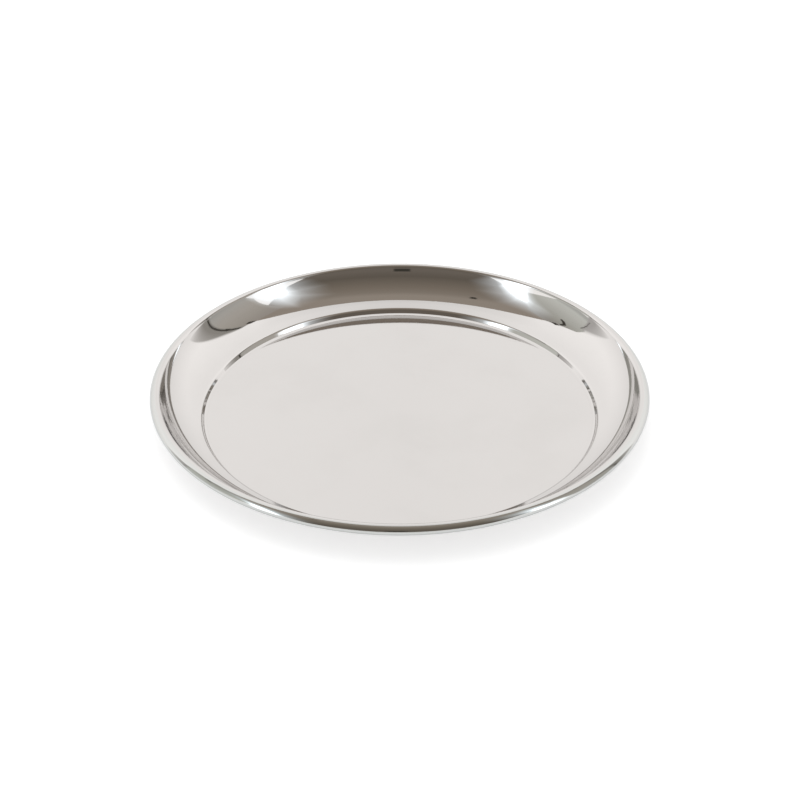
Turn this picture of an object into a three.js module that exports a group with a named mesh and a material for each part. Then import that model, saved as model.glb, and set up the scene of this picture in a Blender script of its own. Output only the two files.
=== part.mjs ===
// Round serving tray, pressed from one disc of polished stainless sheet.
// A flat well is ringed by a small step, a coved wall sweeps up from the step,
// and the edge of the sheet turns over at the rim and curls round a steel wire.
// Millimetres and degrees, +Z up, the origin on the table under the middle of the well.

import * as THREE from 'three';

// Driving dimensions
const TRAY_DIAMETER = 355; // across the rolled rim
const TRAY_HEIGHT = 27.5; // table to the crest of the rim
const SHEET = 0.7; // thickness of the pressed sheet
const WELL_DIAMETER = 275.2; // flat part of the floor
const WELL_EDGE_RADIUS = 7.5; // floor easing up towards the step
const WELL_EDGE_SLOPE = 21; // slope of that easing at the foot of the step
const STEP_HEIGHT = 3.8; // well floor to the foot of the wall
const STEP_SLOPE = 56; // lean of the step, from the level
const STEP_FOOT_BEND = 0.4; // inside radius of the bend at the foot of the step
const STEP_SHOULDER_BEND = 2.8; // inside radius of the fold along the top of the step
const WALL_FOOT_SLOPE = 19; // slope of the wall where it leaves the step
const WALL_TOP_SLOPE = 64; // slope of the wall where it meets the crest
const CREST_BEND = 0.6; // inside radius of the fold along the crest
const LIP_RADIUS = 5.6; // outer face of the lip, from the crest down to the curl
const LIP_TOP_SLOPE = 12; // fall of the lip next to the crest
const LIP_FOOT_SLOPE = 55; // fall of the lip where the curl begins
const WIRE_DIAMETER = 3.2; // wire inside the rolled rim
const WIRE_CLEARANCE = 0.2; // between the wire and the curl
const CURL_END_SLOPE = 230; // how far the curl has turned at the cut edge of the sheet

// Fineness of the facets
const RING_STEPS = 72; // facets round the tray
const WIRE_SIDES = 12; // facets round the wire
const CHORD_ERROR = 0.04; // how far a facet may cut inside a bend of the section

// Slopes of the sheet at its highest line and at its widest line
const LEVEL = 0;
const PLUMB_DOWN = -90;

// Outer radii of the folds that turn the sheet outwards
const stepShoulderRadius = STEP_SHOULDER_BEND + SHEET;
const crestRadius = CREST_BEND + SHEET;
const curlRadius = WIRE_DIAMETER / 2 + WIRE_CLEARANCE + SHEET;

// Direction of travel along the section, and the side of the sheet that faces up there
function along(slope) {
  const angle = THREE.MathUtils.degToRad(slope);
  return new THREE.Vector2(Math.cos(angle), Math.sin(angle));
}

function above(slope) {
  const direction = along(slope);
  return new THREE.Vector2(-direction.y, direction.x);
}

// Rim: the centres of the curl, the lip and the crest follow from the overall size
function rimCentres() {
  const lipFromCurl = above(-LIP_FOOT_SLOPE).multiplyScalar(curlRadius - LIP_RADIUS);
  const crestFromLip = above(-LIP_TOP_SLOPE).multiplyScalar(LIP_RADIUS - crestRadius);
  const crestFromCurl = lipFromCurl.clone().add(crestFromLip);
  const curl = new THREE.Vector2(
    TRAY_DIAMETER / 2 - curlRadius,
    TRAY_HEIGHT - crestRadius - crestFromCurl.y,
  );
  return { curl, crest: curl.clone().add(crestFromCurl) };
}

// Sheet followed along its upper face: each stop leaves a point on either face
function sheetStrip(start) {
  const at = start.clone();
  const upper = [];
  const lower = [];
  let slope = 0;

  function stop() {
    upper.push(at.clone());
    lower.push(at.clone().addScaledVector(above(slope), -SHEET));
  }

  // Run on at the same slope, where there is a way to go
  function straight(length) {
    if (length !== 0) {
      at.addScaledVector(along(slope), length);
      stop();
    }
  }

  // Turn to a new slope on an arc whose radius is measured on the upper face
  function bendTo(endSlope, radius) {
    const turn = endSlope - slope;
    const reach = Math.sign(turn) * radius;
    const centre = at.clone().addScaledVector(above(slope), reach);
    const facet = 2 * THREE.MathUtils.radToDeg(Math.acos(1 - CHORD_ERROR / radius));
    const facets = Math.ceil(Math.abs(turn) / facet);
    for (let i = 0; i < facets; i += 1) {
      slope += turn / facets;
      at.copy(centre).addScaledVector(above(slope), -reach);
      stop();
    }
  }

  stop();
  return { at, upper, lower, straight, bendTo };
}

// Height gained on an arc between two slopes
function riseOnArc(radius, gentle, steep) {
  return radius * (along(gentle).x - along(steep).x);
}

// Straight part of the step, between the bend at its foot and the fold at its shoulder
function stepRunLength() {
  const edgeRise = riseOnArc(WELL_EDGE_RADIUS, LEVEL, WELL_EDGE_SLOPE);
  const footRise = riseOnArc(STEP_FOOT_BEND, WELL_EDGE_SLOPE, STEP_SLOPE);
  const shoulderRise = riseOnArc(stepShoulderRadius, WALL_FOOT_SLOPE, STEP_SLOPE);
  return (STEP_HEIGHT - edgeRise - footRise - shoulderRise) / along(STEP_SLOPE).y;
}

// Wall: it leaves the step at one slope and meets the crest at the other. The two tangents
// meet in a corner, the cove is the largest arc in that corner, and the longer side runs straight.
function wallRun(foot, crestCentre) {
  const top = crestCentre.clone().addScaledVector(above(WALL_TOP_SLOPE), crestRadius);
  const span = top.sub(foot);
  const footWay = along(WALL_FOOT_SLOPE);
  const topWay = along(WALL_TOP_SLOPE);
  const footSide = span.cross(topWay) / footWay.cross(topWay);
  const topSide = footWay.cross(span) / footWay.cross(topWay);
  const coveSide = Math.min(footSide, topSide);
  const halfTurn = THREE.MathUtils.degToRad((WALL_TOP_SLOPE - WALL_FOOT_SLOPE) / 2);
  return {
    footFlank: footSide - coveSide,
    coveRadius: coveSide / Math.tan(halfTurn),
    topFlank: topSide - coveSide,
  };
}

// Half section of the pan, from the middle of the well to the cut edge of the curl and back
function panSection() {
  const strip = sheetStrip(new THREE.Vector2(0, SHEET));
  strip.straight(WELL_DIAMETER / 2);
  strip.bendTo(WELL_EDGE_SLOPE, WELL_EDGE_RADIUS);
  strip.bendTo(STEP_SLOPE, STEP_FOOT_BEND);
  strip.straight(stepRunLength());
  strip.bendTo(WALL_FOOT_SLOPE, stepShoulderRadius);
  const wall = wallRun(strip.at, rimCentres().crest);
  strip.straight(wall.footFlank);
  strip.bendTo(WALL_TOP_SLOPE, wall.coveRadius);
  strip.straight(wall.topFlank);
  strip.bendTo(LEVEL, crestRadius);
  strip.bendTo(-LIP_TOP_SLOPE, crestRadius);
  strip.bendTo(-LIP_FOOT_SLOPE, LIP_RADIUS);
  strip.bendTo(PLUMB_DOWN, curlRadius);
  strip.bendTo(-CURL_END_SLOPE, curlRadius);
  return [...strip.lower, ...strip.upper.reverse()];
}

// Mirror-polished stainless steel, and the plainer drawn steel of the wire
const polishedSteel = new THREE.MeshStandardMaterial({ color: 0xdedad6, metalness: 1, roughness: 0.06 });
const drawnSteel = new THREE.MeshStandardMaterial({ color: 0xa9a7a4, metalness: 1, roughness: 0.35 });

function buildPan() {
  const geometry = new THREE.LatheGeometry(panSection(), RING_STEPS);
  geometry.rotateX(Math.PI / 2);
  const pan = new THREE.Mesh(geometry, polishedSteel);
  pan.name = 'tray_pan';
  return pan;
}

function buildWire() {
  const seat = rimCentres().curl;
  const geometry = new THREE.TorusGeometry(seat.x, WIRE_DIAMETER / 2, WIRE_SIDES, RING_STEPS);
  const wire = new THREE.Mesh(geometry, drawnSteel);
  wire.name = 'rim_wire';
  wire.position.z = seat.y;
  return wire;
}

const tray = new THREE.Group();
tray.add(buildPan(), buildWire());

export default tray;
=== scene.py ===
# %% [markdown]
# # A round serving tray in mirror-polished steel
# The real tray is pressed from one disc of stainless sheet: a flat well, a small step round it,
# a coved wall, and a rim whose edge is curled round a steel wire. The CAD model fixes the size and
# the place of the two pieces. This lesson makes them again as fine, smooth surfaces, because a
# mirror shows every facet, and then gives them steel finishes and a studio to reflect.

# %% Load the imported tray
from math import acos, ceil, copysign, cos, degrees, hypot, pi, radians, sin, tan

import bpy
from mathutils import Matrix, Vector


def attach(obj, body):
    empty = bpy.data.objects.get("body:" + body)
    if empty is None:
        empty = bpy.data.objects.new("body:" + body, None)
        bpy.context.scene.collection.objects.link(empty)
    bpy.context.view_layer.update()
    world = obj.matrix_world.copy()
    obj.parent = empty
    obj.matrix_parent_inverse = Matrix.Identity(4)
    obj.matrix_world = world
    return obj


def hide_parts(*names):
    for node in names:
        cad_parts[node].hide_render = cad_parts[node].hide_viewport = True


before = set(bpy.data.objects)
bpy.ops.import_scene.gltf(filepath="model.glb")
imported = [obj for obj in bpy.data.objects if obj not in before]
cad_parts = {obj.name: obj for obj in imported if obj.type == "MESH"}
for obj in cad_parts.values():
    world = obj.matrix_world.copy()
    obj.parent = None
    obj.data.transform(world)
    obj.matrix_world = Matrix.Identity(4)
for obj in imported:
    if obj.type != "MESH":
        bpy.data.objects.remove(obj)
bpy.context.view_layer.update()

# %% [markdown]
# ## The camera
# The photograph looks down on the tray from the front with a longish lens. The height of the
# camera follows from how flat the round rim appears, and its distance from how much larger the
# near half of the rim is than the far half. It goes in first, so that each piece can be judged
# in the frame as soon as it is there.

# %% Place the camera
CAMERA_ELEVATION = radians(32.72)
CAMERA_DISTANCE = 1.2953
CAMERA_TARGET = Vector((0.00025, -0.00601, 0.01415))
LENS = 81.6
SENSOR = 36.0

camera_data = bpy.data.cameras.new("photo_camera")
camera_data.lens = LENS
camera_data.sensor_width = SENSOR
camera = bpy.data.objects.new("photo_camera", camera_data)
towards_camera = Vector((0.0, -cos(CAMERA_ELEVATION), sin(CAMERA_ELEVATION)))
camera.location = CAMERA_TARGET + towards_camera * CAMERA_DISTANCE
camera.rotation_euler = (pi / 2 - CAMERA_ELEVATION, 0.0, 0.0)
bpy.context.collection.objects.link(camera)
bpy.context.scene.camera = camera
bpy.context.scene.view_settings.view_transform = "Standard"
print("camera at", [round(value, 3) for value in camera.location])

# %% [markdown]
# ## The section of the sheet
# A tray like this is spun or pressed, so the whole shape is one section turned round an axis.
# A section could be drawn as a Bezier curve, but then its slopes would only be near enough. A
# mirror shows slopes rather than places, so the sheet is followed along its upper face in
# straight runs and true arcs, each starting at the slope where the last one ended. The sizes
# are those of the CAD model, in metres and degrees, but the crest and the lip roll a little more
# broadly here, as their soft highlights ask.

# %% Sizes of the tray
MM = 0.001
TRAY_DIAMETER = 355 * MM
TRAY_HEIGHT = 27.5 * MM
SHEET = 0.7 * MM
WELL_DIAMETER = 275.2 * MM
WELL_EDGE_RADIUS = 7.5 * MM
WELL_EDGE_SLOPE = 21
STEP_HEIGHT = 3.8 * MM
STEP_SLOPE = 56
STEP_FOOT_BEND = 0.4 * MM
STEP_SHOULDER_RADIUS = 2.8 * MM + SHEET
WALL_FOOT_SLOPE = 19
WALL_TOP_SLOPE = 64
CREST_RADIUS = 2.5 * MM + SHEET
LIP_RADIUS = 5.9 * MM
LIP_TOP_SLOPE = 12.5
LIP_FOOT_SLOPE = 55
WIRE_DIAMETER = 3.2 * MM
WIRE_CLEARANCE = 0.2 * MM
CURL_RADIUS = WIRE_DIAMETER / 2 + WIRE_CLEARANCE + SHEET
CURL_END_SLOPE = 230
LEVEL = 0
PLUMB_DOWN = -90
print("tray", TRAY_DIAMETER, "across and", TRAY_HEIGHT, "high")

# %% [markdown]
# Two small helpers give the direction of travel at a slope and the side of the sheet that faces
# up there. A strip object walks along the section and keeps each stop with its slope, because
# the slope becomes the exact normal of the finished surface.

# %% Walk along the sheet
CHORD_ERROR = 0.004 * MM
LONGEST_RUN = 12 * MM


def along(slope):
    return Vector((cos(radians(slope)), sin(radians(slope))))


def above(slope):
    return Vector((-sin(radians(slope)), cos(radians(slope))))


class SheetStrip:
    def __init__(self, start):
        self.at = Vector(start)
        self.slope = 0.0
        self.stops = [(self.at.copy(), self.slope)]

    def straight(self, length):
        pieces = ceil(length / LONGEST_RUN)
        for _ in range(pieces):
            self.at = self.at + along(self.slope) * (length / pieces)
            self.stops.append((self.at.copy(), self.slope))

    def bend_to(self, end_slope, radius):
        turn = end_slope - self.slope
        reach = copysign(radius, turn)
        centre = self.at + above(self.slope) * reach
        facet = 2 * degrees(acos(1 - CHORD_ERROR / radius))
        facets = ceil(abs(turn) / facet)
        for _ in range(facets):
            self.slope += turn / facets
            self.at = centre - above(self.slope) * reach
            self.stops.append((self.at.copy(), self.slope))


print("facets cut inside an arc by at most", CHORD_ERROR / MM, "mm")

# %% [markdown]
# The rim is worked out from the outside in: the curl touches the full diameter, the lip rolls
# into the curl, and the crest rolls into the lip. The wall then has to leave the step at one
# slope and reach the crest at another. The two tangents meet in a corner, the largest arc that
# fits the corner is the cove, and what is left of the longer side runs straight.

# %% Find the rim and the wall
def rim_centres():
    lip_from_curl = above(-LIP_FOOT_SLOPE) * (CURL_RADIUS - LIP_RADIUS)
    crest_from_lip = above(-LIP_TOP_SLOPE) * (LIP_RADIUS - CREST_RADIUS)
    crest_from_curl = lip_from_curl + crest_from_lip
    curl = Vector((TRAY_DIAMETER / 2 - CURL_RADIUS, TRAY_HEIGHT - CREST_RADIUS - crest_from_curl.y))
    return curl, curl + crest_from_curl


def turn_between(first, second):
    return first.x * second.y - first.y * second.x


def wall_run(foot, crest):
    top = crest + above(WALL_TOP_SLOPE) * CREST_RADIUS
    foot_way = along(WALL_FOOT_SLOPE)
    top_way = along(WALL_TOP_SLOPE)
    corner = turn_between(foot_way, top_way)
    foot_side = turn_between(top - foot, top_way) / corner
    top_side = turn_between(foot_way, top - foot) / corner
    cove_side = min(foot_side, top_side)
    cove_radius = cove_side / tan(radians(WALL_TOP_SLOPE - WALL_FOOT_SLOPE) / 2)
    return foot_side - cove_side, cove_radius, top_side - cove_side


def rise_on_arc(radius, gentle, steep):
    return radius * (along(gentle).x - along(steep).x)


curl_centre, crest_centre = rim_centres()
print("crest of the rim at radius", round(crest_centre.x / MM, 2), "mm")

# %% [markdown]
# With the rim and the wall known, the sheet can be followed from the middle of the well to the cut
# edge under the rim. The straight part of the step takes whatever height its bends leave over.

# %% Follow the whole sheet
def sheet_stops():
    step_rise = STEP_HEIGHT - rise_on_arc(WELL_EDGE_RADIUS, LEVEL, WELL_EDGE_SLOPE)
    step_rise -= rise_on_arc(STEP_FOOT_BEND, WELL_EDGE_SLOPE, STEP_SLOPE)
    step_rise -= rise_on_arc(STEP_SHOULDER_RADIUS, WALL_FOOT_SLOPE, STEP_SLOPE)
    strip = SheetStrip((0.0, SHEET))
    strip.straight(WELL_DIAMETER / 2)
    strip.bend_to(WELL_EDGE_SLOPE, WELL_EDGE_RADIUS)
    strip.bend_to(STEP_SLOPE, STEP_FOOT_BEND)
    strip.straight(step_rise / along(STEP_SLOPE).y)
    strip.bend_to(WALL_FOOT_SLOPE, STEP_SHOULDER_RADIUS)
    foot_flank, cove_radius, top_flank = wall_run(strip.at, crest_centre)
    strip.straight(foot_flank)
    strip.bend_to(WALL_TOP_SLOPE, cove_radius)
    strip.straight(top_flank)
    strip.bend_to(LEVEL, CREST_RADIUS)
    strip.bend_to(-LIP_TOP_SLOPE, CREST_RADIUS)
    strip.bend_to(-LIP_FOOT_SLOPE, LIP_RADIUS)
    strip.bend_to(PLUMB_DOWN, CURL_RADIUS)
    strip.bend_to(-CURL_END_SLOPE, CURL_RADIUS)
    print("cove radius", round(cove_radius / MM, 1), "mm")
    return strip.stops


stops = sheet_stops()
print("stops along the sheet:", len(stops))

# %% [markdown]
# The section goes along the upper face, round the cut edge of the curl and back along the under
# face. A sheared edge is never a sharp corner after polishing, so it is a half round as wide as
# the sheet is thick. Each point carries the direction that its surface faces.

# %% Close the section round the cut edge
EDGE_FACETS = 8


def closed_section(stops):
    upper = [(place, above(slope)) for place, slope in stops]
    lower = [(place - above(slope) * SHEET, -above(slope)) for place, slope in stops]
    end_place, end_slope = stops[-1]
    middle = end_place - above(end_slope) * (SHEET / 2)
    edge = []
    for step in range(1, EDGE_FACETS):
        sweep = pi * step / EDGE_FACETS
        facing = above(end_slope) * cos(sweep) + along(end_slope) * sin(sweep)
        edge.append((middle + facing * (SHEET / 2), facing))
    return upper + edge + lower[::-1]


pan_section = closed_section(stops)
print("points round the section:", len(pan_section))

# %% [markdown]
# Blender's Screw modifier could turn the section, but it would guess the normals from the
# faces, and the wide flat well beside tight bends would then reflect as if it were dished. So
# the rings are written out and the exact normals are set on the mesh.

# %% Turn the section into the pan
RING_STEPS = 240


def turned_mesh(name, section):
    corners, facings, rings = [], [], []
    for place, facing in section:
        on_axis = place.x < CHORD_ERROR
        ring = []
        for step in range(1 if on_axis else RING_STEPS):
            angle = 2 * pi * step / RING_STEPS
            ring.append(len(corners))
            corners.append((place.x * cos(angle), place.x * sin(angle), place.y))
            facings.append((facing.x * cos(angle), facing.x * sin(angle), facing.y))
        rings.append(ring)
    faces = []
    for inner, outer in zip(rings, rings[1:]):
        for step in range(RING_STEPS):
            after = (step + 1) % RING_STEPS
            if len(inner) == 1:
                faces.append((inner[0], outer[step], outer[after]))
            elif len(outer) == 1:
                faces.append((inner[step], outer[0], inner[after]))
            else:
                faces.append((inner[step], outer[step], outer[after], inner[after]))
    mesh = bpy.data.meshes.new(name)
    mesh.from_pydata(corners, [], faces)
    mesh.shade_smooth()
    mesh.normals_split_custom_set_from_vertices(facings)
    return mesh


pan = bpy.data.objects.new("polished_pan", turned_mesh("polished_pan", pan_section))
bpy.context.collection.objects.link(pan)
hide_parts("tray_pan")
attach(pan, "root")
print("pan:", len(pan.data.polygons), "faces")

# %% [markdown]
# ## The wire in the rim
# A wired edge is rolled over a plain round wire, bent into a ring with its two ends butted
# together. A torus would be the quick way, but the real ring has that joint and slightly broken
# ends. So the wire is swept nearly all the way round, and both ends are drawn in a little
# before they close.

# %% Sweep the wire
WIRE_SIDES = 24
WIRE_STEPS = 240
JOINT_PLACE = radians(100)
JOINT_GAP = 0.25 * MM
END_BREAK = 0.4 * MM
SHARPEST_SMOOTH = radians(35)


def wire_stations():
    half_gap = JOINT_GAP / 2 / curl_centre.x
    end_break = END_BREAK / curl_centre.x
    first = JOINT_PLACE + half_gap
    last = JOINT_PLACE + 2 * pi - half_gap
    full = WIRE_DIAMETER / 2
    stations = [(first, full - END_BREAK)]
    for step in range(WIRE_STEPS + 1):
        share = step / WIRE_STEPS
        stations.append((first + end_break + (last - first - 2 * end_break) * share, full))
    stations.append((last, full - END_BREAK))
    return stations


def wire_mesh():
    stations = wire_stations()
    corners = []
    for angle, thickness in stations:
        for side in range(WIRE_SIDES):
            round_wire = 2 * pi * side / WIRE_SIDES
            radius = curl_centre.x + thickness * cos(round_wire)
            height = curl_centre.y + thickness * sin(round_wire)
            corners.append((radius * cos(angle), radius * sin(angle), height))
    faces = [tuple(range(WIRE_SIDES))]
    for station in range(len(stations) - 1):
        for side in range(WIRE_SIDES):
            here = station * WIRE_SIDES + side
            beside = station * WIRE_SIDES + (side + 1) % WIRE_SIDES
            faces.append((here, here + WIRE_SIDES, beside + WIRE_SIDES, beside))
    last_ring = (len(stations) - 1) * WIRE_SIDES
    faces.append(tuple(last_ring + side for side in reversed(range(WIRE_SIDES))))
    mesh = bpy.data.meshes.new("wire_ring")
    mesh.from_pydata(corners, [], faces)
    mesh.shade_smooth()
    mesh.set_sharp_from_angle(angle=SHARPEST_SMOOTH)
    return mesh


wire = bpy.data.objects.new("wire_ring", wire_mesh())
bpy.context.collection.objects.link(wire)
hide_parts("rim_wire")
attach(wire, "root")
print("wire:", len(wire.data.polygons), "faces")

# %% [markdown]
# ## Steel finishes
# A material in Blender is a tree of nodes. A helper that adds a node, sets its options and fills
# its sockets with numbers or links keeps the recipes short enough to read. A Mix node has its two
# numbers on sockets 2 and 3, and its two colours on sockets 6 and 7.

# %% A helper for nodes
def place(tree, kind, values=None, **options):
    node = tree.nodes.new(kind)
    for option, choice in options.items():
        setattr(node, option, choice)
    for socket, value in (values or {}).items():
        if isinstance(value, bpy.types.NodeSocket):
            tree.links.new(value, node.inputs[socket])
        else:
            node.inputs[socket].default_value = value
    return node


def new_group(name, inputs, outputs):
    group = bpy.data.node_groups.new(name, "ShaderNodeTree")
    for label, value in inputs.items():
        socket = group.interface.new_socket(name=label, in_out="INPUT", socket_type="NodeSocketFloat")
        socket.default_value = value
    for label in outputs:
        group.interface.new_socket(name=label, in_out="OUTPUT", socket_type="NodeSocketFloat")
    entry = group.nodes.new("NodeGroupInput")
    way_out = group.nodes.new("NodeGroupOutput")
    return group, entry.outputs, way_out.inputs


def new_material(name):
    material = bpy.data.materials.new(name)
    material.use_nodes = True
    material.node_tree.nodes.clear()
    return material, material.node_tree


print("node helpers ready")

# %% [markdown]
# ### Polishing lines
# The pan turns on a lathe while it is spun and buffed, so what little texture it has runs in
# rings. A Wave texture would give even rings like a record. Noise that is stretched along the
# circle gives fine lines of uneven depth which fade in and out, as a buffing wheel leaves them.

# %% Build the polishing lines group
def build_ring_lines():
    group, given, result = new_group(
        "Ring lines", {"Lines per metre": 2500.0, "Breaks round": 6.0}, ["Height"]
    )
    spot = place(group, "ShaderNodeTexCoord").outputs["Object"]
    flat = place(group, "ShaderNodeVectorMath", {0: spot, 1: (1.0, 1.0, 0.0)}, operation="MULTIPLY")
    radius = place(group, "ShaderNodeVectorMath", {0: flat.outputs[0]}, operation="LENGTH")
    height = place(group, "ShaderNodeSeparateXYZ", {0: spot})
    way = place(
        group, "ShaderNodeMath", {0: radius.outputs["Value"], 1: height.outputs["Z"]}, operation="ADD"
    )
    across = place(
        group, "ShaderNodeMath", {0: way.outputs[0], 1: given["Lines per metre"]}, operation="MULTIPLY"
    )
    bearing = place(group, "ShaderNodeVectorMath", {0: flat.outputs[0]}, operation="NORMALIZE")
    spread = place(
        group, "ShaderNodeVectorMath",
        {0: bearing.outputs[0], "Scale": given["Breaks round"]}, operation="SCALE",
    )
    parts = place(group, "ShaderNodeSeparateXYZ", {0: spread.outputs[0]})
    where = place(
        group, "ShaderNodeCombineXYZ",
        {"X": parts.outputs["X"], "Y": parts.outputs["Y"], "Z": across.outputs[0]},
    )
    grain = place(
        group, "ShaderNodeTexNoise",
        {"Vector": where.outputs[0], "Scale": 1.0, "Detail": 2.0, "Roughness": 0.6},
    )
    group.links.new(grain.outputs["Fac"], result["Height"])
    return group


ring_lines = build_ring_lines()
print("group:", ring_lines.name)

# %% [markdown]
# ### Handling marks
# A tray that has been carried and wiped has faint cloudy patches and a few hairline scratches.
# The patches are soft noise. The scratches are noise too, squeezed hard in one direction and cut
# off near its peaks, in two layers that cross. Both come out as masks, so that each steel
# can take as much of them as suits it.

# %% Build the handling marks group
SCRATCH_WAYS = ((0.35, 1.0), (1.9, 1.7))
SCRATCH_STRETCH = 0.03
SMUDGE_FROM, SMUDGE_FULL = 0.42, 0.72
SCRATCH_FROM, SCRATCH_FULL = 0.70, 0.76


def build_handling_marks():
    group, given, result = new_group(
        "Handling marks", {"Patches per metre": 14.0, "Scratches per metre": 900.0},
        ["Smudge", "Scratch"],
    )
    spot = place(group, "ShaderNodeTexCoord").outputs["Object"]
    clouds = place(
        group, "ShaderNodeTexNoise",
        {"Vector": spot, "Scale": given["Patches per metre"], "Detail": 4.0, "Roughness": 0.55},
    )
    smudge = place(
        group, "ShaderNodeMapRange",
        {"Value": clouds.outputs["Fac"], "From Min": SMUDGE_FROM, "From Max": SMUDGE_FULL},
        interpolation_type="SMOOTHSTEP",
    )
    group.links.new(smudge.outputs["Result"], result["Smudge"])
    layers = []
    for turn, coarseness in SCRATCH_WAYS:
        squeezed = place(
            group, "ShaderNodeMapping",
            {"Vector": spot, "Rotation": (0.0, 0.0, turn),
             "Scale": (SCRATCH_STRETCH, coarseness, coarseness)},
        )
        streaks = place(
            group, "ShaderNodeTexNoise",
            {"Vector": squeezed.outputs[0], "Scale": given["Scratches per metre"], "Detail": 1.0},
        )
        layers.append(place(
            group, "ShaderNodeMapRange",
            {"Value": streaks.outputs["Fac"], "From Min": SCRATCH_FROM, "From Max": SCRATCH_FULL},
        ).outputs["Result"])
    both = place(group, "ShaderNodeMath", {0: layers[0], 1: layers[1]}, operation="MAXIMUM")
    group.links.new(both.outputs[0], result["Scratch"])
    return group


handling_marks = build_handling_marks()
print("group:", handling_marks.name)

# %% [markdown]
# ### Mirror-polished steel
# Polished stainless reflects a little under two thirds of the light, slightly less of the blue.
# Its roughness is very low, a touch higher in the smudges and along the rim, where hands and
# stacking wear the polish. Along the rim the colour is also darker and cooler than the sheet: that
# is painted shade, which darkens what the rim mirrors. The pressed sheet is never truly flat, so a
# broad shallow wave goes into the normal before the polishing lines and the scratches.

# %% Mix the colour of the pan
STEEL = (0.622, 0.610, 0.603, 1.0)
STEEL_DULLED = (0.606, 0.594, 0.586, 1.0)
# Painted shade: the rim's colour is darker and cooler than the sheet's, so its reflections come out darker.
RIM_STEEL_SHADED = (0.572, 0.582, 0.574, 1.0)
RIM_BLEND = 1.5 * MM


# The rim mask marks where the polish is worn and also where the colour carries painted shade.
def rim_wear_and_shade_mask(tree, spot):
    flat = place(tree, "ShaderNodeVectorMath", {0: spot, 1: (1.0, 1.0, 0.0)}, operation="MULTIPLY")
    radius = place(tree, "ShaderNodeVectorMath", {0: flat.outputs[0]}, operation="LENGTH")
    rim_start = crest_centre.x
    wear = place(
        tree, "ShaderNodeMapRange",
        {"Value": radius.outputs["Value"], "From Min": rim_start, "From Max": rim_start + RIM_BLEND},
        interpolation_type="SMOOTHSTEP",
    )
    return wear.outputs["Result"]


def pan_colour(tree, marks, rim_wear_and_shade):
    sheet = place(
        tree, "ShaderNodeMix",
        {"Factor": marks["Smudge"], 6: STEEL, 7: STEEL_DULLED}, data_type="RGBA",
    )
    # Painted shade: towards the rim the colour blends into the darker, cooler rim colour.
    rimmed = place(
        tree, "ShaderNodeMix",
        {"Factor": rim_wear_and_shade, 6: sheet.outputs[2], 7: RIM_STEEL_SHADED}, data_type="RGBA",
    )
    return rimmed.outputs[2]


print("steel:", STEEL[:3])

# %% Dull the polish where it is worn
POLISH = 0.035
SMUDGE_DULLS = 0.02
SCRATCH_DULLS = 0.06
RIM_DULLS = 0.03


def pan_roughness(tree, marks, rim_wear_and_shade):
    level = POLISH
    for mask, dulls in (
        (marks["Smudge"], SMUDGE_DULLS), (marks["Scratch"], SCRATCH_DULLS), (rim_wear_and_shade, RIM_DULLS),
    ):
        level = place(
            tree, "ShaderNodeMath", {0: mask, 1: dulls, 2: level}, operation="MULTIPLY_ADD"
        ).outputs[0]
    return level


print("polish:", POLISH)

# %% Add waves, lines and scratches
WAVES_PER_METRE = 16.0
WAVE_DEPTH = 0.03 * MM
LINE_DEPTH = 0.0008 * MM
SCRATCH_DEPTH = 0.0006 * MM


def pan_normal(tree, spot, lines, marks):
    waves = place(
        tree, "ShaderNodeTexNoise", {"Vector": spot, "Scale": WAVES_PER_METRE, "Detail": 1.0}
    )
    wavy = place(
        tree, "ShaderNodeBump", {"Strength": 1.0, "Distance": WAVE_DEPTH, "Height": waves.outputs["Fac"]}
    )
    lined = place(
        tree, "ShaderNodeBump",
        {"Strength": 1.0, "Distance": LINE_DEPTH, "Height": lines, "Normal": wavy.outputs[0]},
    )
    scratched = place(
        tree, "ShaderNodeBump",
        {"Strength": 1.0, "Distance": SCRATCH_DEPTH, "Height": marks["Scratch"],
         "Normal": lined.outputs[0]},
        invert=True,
    )
    return scratched.outputs[0]


print("waves of", WAVE_DEPTH / MM, "mm and lines of", LINE_DEPTH / MM, "mm")

# %% Make the pan's material
def polished_steel():
    material, tree = new_material("mirror_polished_steel")
    lines = place(tree, "ShaderNodeGroup", node_tree=ring_lines).outputs
    marks = place(tree, "ShaderNodeGroup", node_tree=handling_marks).outputs
    spot = place(tree, "ShaderNodeTexCoord").outputs["Object"]
    # One rim mask serves both the worn polish and the painted shade on the rim.
    rim_wear_and_shade = rim_wear_and_shade_mask(tree, spot)
    surface = place(
        tree, "ShaderNodeBsdfPrincipled",
        {"Base Color": pan_colour(tree, marks, rim_wear_and_shade), "Metallic": 1.0,
         "Roughness": pan_roughness(tree, marks, rim_wear_and_shade),
         "Normal": pan_normal(tree, spot, lines["Height"], marks)},
    )
    place(tree, "ShaderNodeOutputMaterial", {"Surface": surface.outputs[0]})
    return material


pan.data.materials.append(polished_steel())
print("pan finish:", pan.data.materials[0].name)

# %% [markdown]
# ### Drawn steel
# The wire is pulled through a die and left as it is, so it is greyer and duller than the sheet,
# with faint darker stains and long draw lines. The same two groups serve, with coarser values.

# %% Make the wire's material
DRAWN = (0.45, 0.445, 0.44, 1.0)
DRAWN_STAINED = (0.33, 0.32, 0.31, 1.0)
DRAWN_ROUGHNESS = 0.28
DRAW_LINE_ROUGHNESS = 0.14
DRAW_LINE_DEPTH = 0.004 * MM


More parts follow.
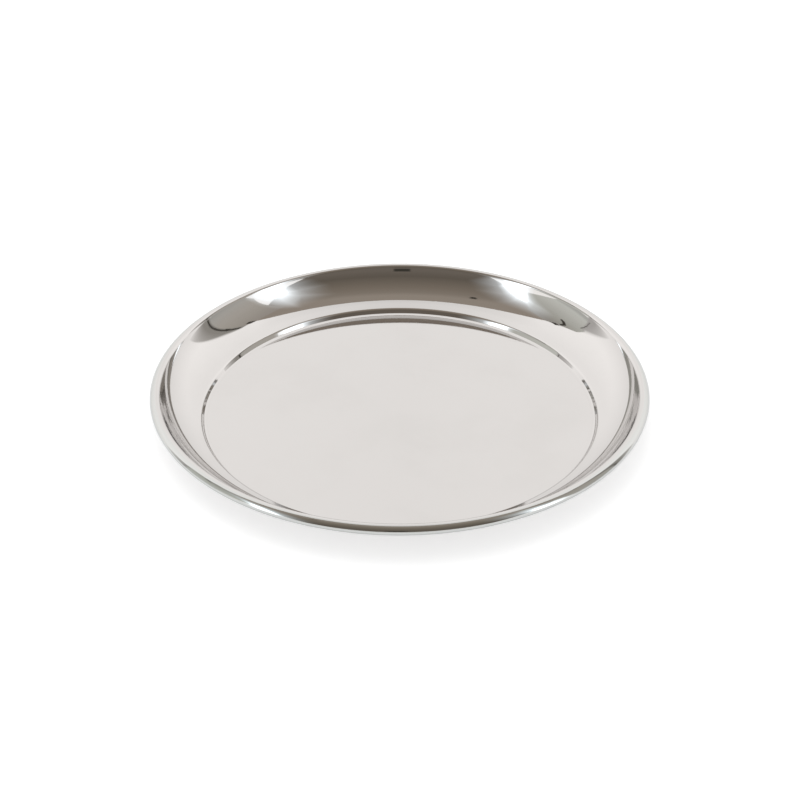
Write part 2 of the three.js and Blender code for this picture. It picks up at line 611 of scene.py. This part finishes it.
def drawn_steel():
    material, tree = new_material("drawn_wire_steel")
    lines = place(
        tree, "ShaderNodeGroup", {"Lines per metre": 4000.0, "Breaks round": 20.0}, node_tree=ring_lines
    )
    marks = place(tree, "ShaderNodeGroup", {"Patches per metre": 60.0}, node_tree=handling_marks)
    colour = place(
        tree, "ShaderNodeMix",
        {"Factor": marks.outputs["Smudge"], 6: DRAWN, 7: DRAWN_STAINED}, data_type="RGBA",
    )
    rough = place(
        tree, "ShaderNodeMath",
        {0: lines.outputs["Height"], 1: DRAW_LINE_ROUGHNESS, 2: DRAWN_ROUGHNESS},
        operation="MULTIPLY_ADD",
    )
    lined = place(
        tree, "ShaderNodeBump",
        {"Strength": 1.0, "Distance": DRAW_LINE_DEPTH, "Height": lines.outputs["Height"]},
    )
    surface = place(
        tree, "ShaderNodeBsdfPrincipled",
        {"Base Color": colour.outputs[2], "Metallic": 1.0, "Roughness": rough.outputs[0],
         "Normal": lined.outputs[0]},
    )
    place(tree, "ShaderNodeOutputMaterial", {"Surface": surface.outputs[0]})
    return material


wire.data.materials.append(drawn_steel())
print("wire finish:", wire.data.materials[0].name)

# %% [markdown]
# ## The studio
# A mirror has no look of its own: what the tray shows is the studio round it. A white sweep
# stands behind and beside the tray, and a plain darker ceiling begins almost overhead. The world
# is the sweep: brightest at mid height, fading a little towards the table and overhead, and
# lighter to either side. The camera sees plain white, the steel sees the sweep, and
# everything else gets an even soft light.

# %% Light the world
SWEEP_AT_TABLE = 0.95
SWEEP_MIDDLE = 1.17
SWEEP_MIDDLE_AT = 0.42
SWEEP_FALLS_FROM = 0.83
SWEEP_FALLS_BY = 0.24
SWEEP_SIDES = 0.22
SOFT_LIGHT = 0.75
SWEEP_TINT = (1.0, 0.98, 0.962, 1.0)
PURE_WHITE = (1.0, 1.0, 1.0, 1.0)

world = bpy.data.worlds.new("white_sweep")
world.use_nodes = True
bpy.context.scene.world = world
sky = world.node_tree
sky.nodes.clear()
facing = place(sky, "ShaderNodeTexCoord").outputs["Generated"]
parts = place(sky, "ShaderNodeSeparateXYZ", {0: facing}).outputs
rising = place(
    sky, "ShaderNodeMapRange",
    {"Value": parts["Z"], "From Min": 0.0, "From Max": SWEEP_MIDDLE_AT,
     "To Min": SWEEP_AT_TABLE, "To Max": SWEEP_MIDDLE},
)
falling = place(
    sky, "ShaderNodeMapRange",
    {"Value": parts["Z"], "From Min": SWEEP_FALLS_FROM, "From Max": 1.0,
     "To Min": 0.0, "To Max": SWEEP_FALLS_BY},
)
upright = place(sky, "ShaderNodeMath", {0: rising.outputs[0], 1: falling.outputs[0]}, operation="SUBTRACT")
sideways = place(sky, "ShaderNodeMath", {0: parts["X"]}, operation="ABSOLUTE")
sweep = place(
    sky, "ShaderNodeMath",
    {0: sideways.outputs[0], 1: SWEEP_SIDES, 2: upright.outputs[0]}, operation="MULTIPLY_ADD",
)
path = place(sky, "ShaderNodeLightPath").outputs
mirrored = place(
    sky, "ShaderNodeMath", {0: path["Is Glossy Ray"], 1: path["Is Transmission Ray"]}, operation="MAXIMUM"
)
level = place(sky, "ShaderNodeMix", {0: mirrored.outputs[0], 2: SOFT_LIGHT, 3: sweep.outputs[0]})
level = place(sky, "ShaderNodeMix", {0: path["Is Camera Ray"], 2: level.outputs[0], 3: 1.0})
tint = place(
    sky, "ShaderNodeMix", {"Factor": mirrored.outputs[0], 6: PURE_WHITE, 7: SWEEP_TINT}, data_type="RGBA"
)
backdrop = place(sky, "ShaderNodeBackground", {"Color": tint.outputs[2], "Strength": level.outputs[0]})
place(sky, "ShaderNodeOutputWorld", {"Surface": backdrop.outputs[0]})
print("world:", world.name)

# %% [markdown]
# ### Cards for the steel to mirror
# The ceiling, the softboxes and the side panels are flat cards. They hang far off, so that every
# part of the rim mirrors them in the same direction, and only the steel can see them. Each corner
# is given in degrees to the right of and behind the point overhead, because that is how a
# reflection is measured: the slope of the wall says how far from overhead it looks. Outlines
# further out may follow, each with what is left of the card's light there, since a softbox has
# no hard edge. A card that hangs nearer covers those above it.

# %% A helper for cards
CARD_HEIGHT = 10.0
FADE_CURVE = 1.5
GONE_SHARE = 0.0


def overhead(right, behind):
    angle = hypot(right, behind)
    reach = tan(radians(angle)) / angle
    return right * reach, behind * reach


def card_light(name, shades, axis="X", brightness=1.0):
    material, tree = new_material(name)
    spot = place(tree, "ShaderNodeTexCoord").outputs["Generated"]
    share = place(tree, "ShaderNodeSeparateXYZ", {0: spot}).outputs[axis]
    ramp = place(tree, "ShaderNodeValToRGB", {"Fac": share})
    blends = ramp.color_ramp.elements
    blends.remove(blends[-1])
    blends[0].position = shades[0][0]
    blends[0].color = (*shades[0][1], 1.0)
    for where, colour in shades[1:]:
        blends.new(where).color = (*colour, 1.0)
    glow = place(tree, "ShaderNodeEmission", {"Color": ramp.outputs["Color"], "Strength": brightness})
    cover = place(tree, "ShaderNodeAttribute", attribute_name="cover")
    soft = place(tree, "ShaderNodeMath", {0: cover.outputs["Fac"], 1: FADE_CURVE}, operation="POWER")
    clear = place(tree, "ShaderNodeBsdfTransparent")
    both = place(
        tree, "ShaderNodeMixShader", {0: soft.outputs[0], 1: clear.outputs[0], 2: glow.outputs[0]}
    )
    place(tree, "ShaderNodeOutputMaterial", {"Surface": both.outputs[0]})
    return material


def hang_card(name, outline, nearer, material, *fading):
    height = CARD_HEIGHT - nearer
    count = len(outline)
    corners, covers = [], []
    for cover, ring in ((1.0, outline), *fading):
        for corner in ring:
            right, behind = overhead(*corner)
            corners.append((right * height, behind * height, height))
            covers.append(cover)
    faces = [tuple(range(count))]
    for inner in range(0, count * len(fading), count):
        for step in range(count):
            after = (step + 1) % count
            faces.append((inner + step, inner + after, inner + count + after, inner + count + step))
    mesh = bpy.data.meshes.new(name)
    mesh.from_pydata(corners, [], faces)
    mesh.materials.append(material)
    mesh.attributes.new("cover", "FLOAT", "POINT").data.foreach_set("value", covers)
    card = bpy.data.objects.new(name, mesh)
    bpy.context.collection.objects.link(card)
    card.visible_camera = False
    card.visible_diffuse = False
    card.visible_shadow = False


def plain(colour):
    return (0.0, colour), (1.0, colour)


print("cards hang at", CARD_HEIGHT, "m")

# %% [markdown]
# The ceiling is a warm grey, lighter near the sweep and darker above the camera. It ends in a
# straight edge just behind the point overhead, which gives the wall its long dark reflection.

# %% Hang the ceiling
CEILING_LAYER = 0.0
CEILING = ((-36, 12.6), (-20, 12.9), (0, 13.2), (33.5, 14), (54, -34), (47, -60), (-47, -60), (-50, -41))
CEILING_SHADES = (
    (0.42, (0.203, 0.175, 0.147)),
    (0.62, (0.165, 0.141, 0.115)),
    (0.74, (0.222, 0.188, 0.152)),
    (0.82, (0.270, 0.228, 0.186)),
    (0.88, (0.318, 0.273, 0.228)),
    (0.92, (0.400, 0.347, 0.294)),
)
hang_card("ceiling", CEILING, CEILING_LAYER, card_light("ceiling_paint", CEILING_SHADES, axis="Y"))
print("ceiling hung")

# %% [markdown]
# Cloth panels close the studio on both sides. They catch less light near the ceiling's corners,
# and the strips above them fade into the sweep.

# %% Hang the side panels
PANEL_LAYER = 0.1
LEFT_PANEL = (
    (-36, 12.6), (-44, 16.5), (-49, 20), (-58, 20.5), (-62, 17), (-80, 14),
    (-80, -10), (-74, -14), (-59, -25), (-44, -8), (-37, 1),
)
LEFT_PANEL_SHADES = (
    (0.33, (0.60, 0.605, 0.57)), (0.53, (0.76, 0.77, 0.72)), (0.73, (0.71, 0.71, 0.66)),
    (0.87, (0.61, 0.61, 0.56)), (0.93, (0.52, 0.51, 0.46)), (0.98, (0.42, 0.40, 0.365)),
)
RIGHT_PANEL = (
    (33.5, 13.8), (36.5, 17), (81, 15.5), (81, -8), (77, -15), (66, -16), (46, -7), (32, 0),
)
RIGHT_PANEL_SHADES = (
    (0.00, (0.43, 0.39, 0.35)), (0.06, (0.50, 0.465, 0.415)), (0.15, (0.55, 0.515, 0.465)),
    (0.36, (0.56, 0.54, 0.50)), (0.73, (0.50, 0.49, 0.46)),
)
hang_card("left_panel", LEFT_PANEL, PANEL_LAYER, card_light("left_panel_cloth", LEFT_PANEL_SHADES))
hang_card("right_panel", RIGHT_PANEL, PANEL_LAYER, card_light("right_panel_cloth", RIGHT_PANEL_SHADES))
print("side panels hung")

# %% Hang the strips above the panels
STRIP_LAYER = 0.2
LEFT_STRIP = ((-60, 18), (-80, 21), (-81, 14), (-62, 17))
LEFT_STRIP_GONE = ((-54, 22), (-75, 38), (-84, 13), (-60, 16))
LEFT_STRIP_CLOTH = (0.58, 0.56, 0.54)
RIGHT_STRIP = ((36.5, 18), (42, 20.5), (80, 22), (81, 15.5), (36.5, 17))
RIGHT_STRIP_GONE = ((36, 20), (42, 24.5), (74, 38), (84, 14), (35.5, 16))
RIGHT_STRIP_CLOTH = (0.38, 0.36, 0.33)
hang_card(
    "left_strip", LEFT_STRIP, STRIP_LAYER, card_light("left_strip_cloth", plain(LEFT_STRIP_CLOTH)),
    (GONE_SHARE, LEFT_STRIP_GONE),
)
hang_card(
    "right_strip", RIGHT_STRIP, STRIP_LAYER, card_light("right_strip_cloth", plain(RIGHT_STRIP_CLOTH)),
    (GONE_SHARE, RIGHT_STRIP_GONE),
)
print("strips hung")

# %% [markdown]
# The softboxes are the two white blazes on the wall. Each has a bright middle with a firm edge.
# Round it the glow first drops to a share of its light and then thins out, furthest towards the
# ceiling.

# %% Hang the softboxes
LEFT_SOFTBOX = (
    (-45, -12), (-48, -13), (-51, -18), (-54, -22), (-60, -29),
    (-62, -36), (-54, -42), (-49, -35), (-46, -24), (-44.5, -16),
)
LEFT_SOFTBOX_DIM = (
    (-41, -2), (-48.5, -7.5), (-53.5, -16), (-58, -22.5), (-66, -30),
    (-70, -38), (-50, -46), (-44.5, -34), (-39, -20), (-36.5, -9),
)
LEFT_SOFTBOX_GONE = (
    (-34, 14), (-50, 6), (-56, -12), (-61, -21), (-69, -28),
    (-76, -40), (-48, -54), (-31, -43), (-26, -23), (-25, -2),
)
RIGHT_SOFTBOX = (
    (46, -17), (52, -16.5), (60, -18), (67, -21), (69, -26), (61, -35), (55, -31), (48, -25), (45, -21),
)
RIGHT_SOFTBOX_DIM = (
    (30, -2), (46, -9.5), (60, -14.5), (73, -18.5), (75, -26), (59, -39.5), (51, -34), (41, -26), (34, -16),
)
RIGHT_SOFTBOX_GONE = (
    (20, 9), (44, -3), (60, -10), (76, -14), (80, -26), (60, -50), (43, -47), (29, -35), (18, -12),
)
GLOW_LAYER = 0.4
MIDDLE_LAYER = 0.5
DIM_SHARE = 0.45
SOFTBOX_WHITE = (0.90, 0.96, 1.0)
SOFTBOX_BRIGHTNESS = 1.95
MIDDLE_BRIGHTNESS = 3.2
softbox_cloth = card_light("softbox_cloth", plain(SOFTBOX_WHITE), brightness=SOFTBOX_BRIGHTNESS)
hang_card(
    "left_softbox", LEFT_SOFTBOX, GLOW_LAYER, softbox_cloth,
    (DIM_SHARE, LEFT_SOFTBOX_DIM), (GONE_SHARE, LEFT_SOFTBOX_GONE),
)
hang_card(
    "right_softbox", RIGHT_SOFTBOX, GLOW_LAYER, softbox_cloth,
    (DIM_SHARE, RIGHT_SOFTBOX_DIM), (GONE_SHARE, RIGHT_SOFTBOX_GONE),
)
softbox_middle = card_light("softbox_middle", plain(SOFTBOX_WHITE), brightness=MIDDLE_BRIGHTNESS)
hang_card("left_softbox_middle", LEFT_SOFTBOX, MIDDLE_LAYER, softbox_middle)
hang_card("right_softbox_middle", RIGHT_SOFTBOX, MIDDLE_LAYER, softbox_middle)
print("softboxes hung")

# %% [markdown]
# Last come the small dark things that a mirror picks up in any studio: the rails that carry the
# panels, their clamps and a cable, a lamp on the ceiling, and the camera itself, which hangs no
# higher than the real one, so that it shows on the rim and not across the whole well.

# %% Hang the rails, the clamps and the camera
RIG_LAYER = 0.3
RIG_BLACK = (0.06, 0.055, 0.045)
RIG = {
    "left_rail": ((-58, 17.4), (-75, 17.2), (-75, 16.6), (-58, 16.9)),
    "right_rail": ((38, 18.8), (80, 17.8), (80, 16.4), (38, 17.4)),
    "left_clamp": ((-38.5, 15.6), (-41.5, 15.4), (-41.5, 13), (-38.5, 13)),
    "right_clamp": ((34.5, 15.6), (38.5, 15), (38.5, 13), (34.5, 13.2)),
    "far_clamp": ((46, 19.6), (50, 19), (50, 17), (46, 17.4)),
    "cable": (
        (-43, 15), (-47.5, 14.5), (-51, 11), (-52, 8),
        (-50.5, 8), (-49, 10.5), (-46.5, 13), (-43, 13.6),
    ),
    "ceiling_lamp": ((-19.5, -2.5), (-17.8, -3.5), (-20, -7), (-21.4, -6)),
}
CAMERA = ((-4.9, -53.1), (2.35, -53.1), (2.6, -60.0), (-5.3, -60.0))
CAMERA_GONE = ((-6.2, -51.8), (3.7, -51.8), (4.0, -61.2), (-6.7, -61.2))
rig_black = card_light("rig_black", plain(RIG_BLACK))
for thing, outline in RIG.items():
    hang_card(thing, outline, RIG_LAYER, rig_black)
camera_layer = CARD_HEIGHT - camera.location.z
hang_card("camera_shape", CAMERA, camera_layer, rig_black, (GONE_SHARE, CAMERA_GONE))
print("small dark cards:", len(RIG), "and the camera")

# %% [markdown]
# ### The floor
# The tray stands on a plain white table. The floor gives off part of its white itself, to the
# camera and in the steel, and the rest is light falling on it, so the tray's soft shadow
# stays. From below the floor is clear, so that the underside can be looked at too, and it lies a
# hair lower than the tray, so that the two faces never share one plane.

# %% Paint the floor
FLOOR_WHITE = (0.8, 0.8, 0.8, 1.0)
GLOW_IN_STEEL = 0.36
GLOW_TO_CAMERA = 0.50

floor_material, floor_tree = new_material("white_table")
floor_path = place(floor_tree, "ShaderNodeLightPath").outputs
mirrored_floor = place(
    floor_tree, "ShaderNodeMath",
    {0: floor_path["Is Glossy Ray"], 1: floor_path["Is Transmission Ray"]}, operation="MAXIMUM",
)
glow_level = place(
    floor_tree, "ShaderNodeMath", {0: mirrored_floor.outputs[0], 1: GLOW_IN_STEEL}, operation="MULTIPLY"
)
glow_level = place(
    floor_tree, "ShaderNodeMath",
    {0: floor_path["Is Camera Ray"], 1: GLOW_TO_CAMERA, 2: glow_level.outputs[0]}, operation="MULTIPLY_ADD",
)
floor_glow = place(
    floor_tree, "ShaderNodeEmission", {"Color": PURE_WHITE, "Strength": glow_level.outputs[0]}
)
floor_cloth = place(floor_tree, "ShaderNodeBsdfDiffuse", {"Color": FLOOR_WHITE})
floor_sum = place(floor_tree, "ShaderNodeAddShader", {0: floor_cloth.outputs[0], 1: floor_glow.outputs[0]})
from_below = place(floor_tree, "ShaderNodeNewGeometry").outputs["Backfacing"]
floor_clear = place(floor_tree, "ShaderNodeBsdfTransparent")
floor_seen = place(
    floor_tree, "ShaderNodeMixShader", {0: from_below, 1: floor_sum.outputs[0], 2: floor_clear.outputs[0]}
)
place(floor_tree, "ShaderNodeOutputMaterial", {"Surface": floor_seen.outputs[0]})
print("floor paint:", floor_material.name)

# %% Lay the floor
FLOOR_HALF = 30.0
FLOOR_HEIGHT = -0.2 * MM
floor_mesh = bpy.data.meshes.new("white_table")
floor_corners = [
    (-FLOOR_HALF, -FLOOR_HALF, FLOOR_HEIGHT), (FLOOR_HALF, -FLOOR_HALF, FLOOR_HEIGHT),
    (FLOOR_HALF, FLOOR_HALF, FLOOR_HEIGHT), (-FLOOR_HALF, FLOOR_HALF, FLOOR_HEIGHT),
]
floor_mesh.from_pydata(floor_corners, [], [(0, 1, 2, 3)])
floor_mesh.materials.append(floor_material)
floor = bpy.data.objects.new("white_table", floor_mesh)
bpy.context.collection.objects.link(floor)
print("floor:", 2 * FLOOR_HALF, "m square")

# %% [markdown]
# ### The lamp
# A broad lamp overhead makes the tray's shadow. A sun or a small lamp would give the shadow a hard
# edge, so this one is wide. It is hidden from the steel, which would mirror it as a white square.

# %% Hang the lamp
LAMP_SIZE = 1.6
LAMP_POWER = 6.0
LAMP_PLACE = (-0.4, 0.2, 1.6)
lamp_data = bpy.data.lights.new("overhead_lamp", "AREA")
lamp_data.size = LAMP_SIZE
lamp_data.energy = LAMP_POWER
lamp = bpy.data.objects.new("overhead_lamp", lamp_data)
lamp.location = LAMP_PLACE
lamp.visible_glossy = False
bpy.context.collection.objects.link(lamp)
print("lamp:", LAMP_POWER, "W")
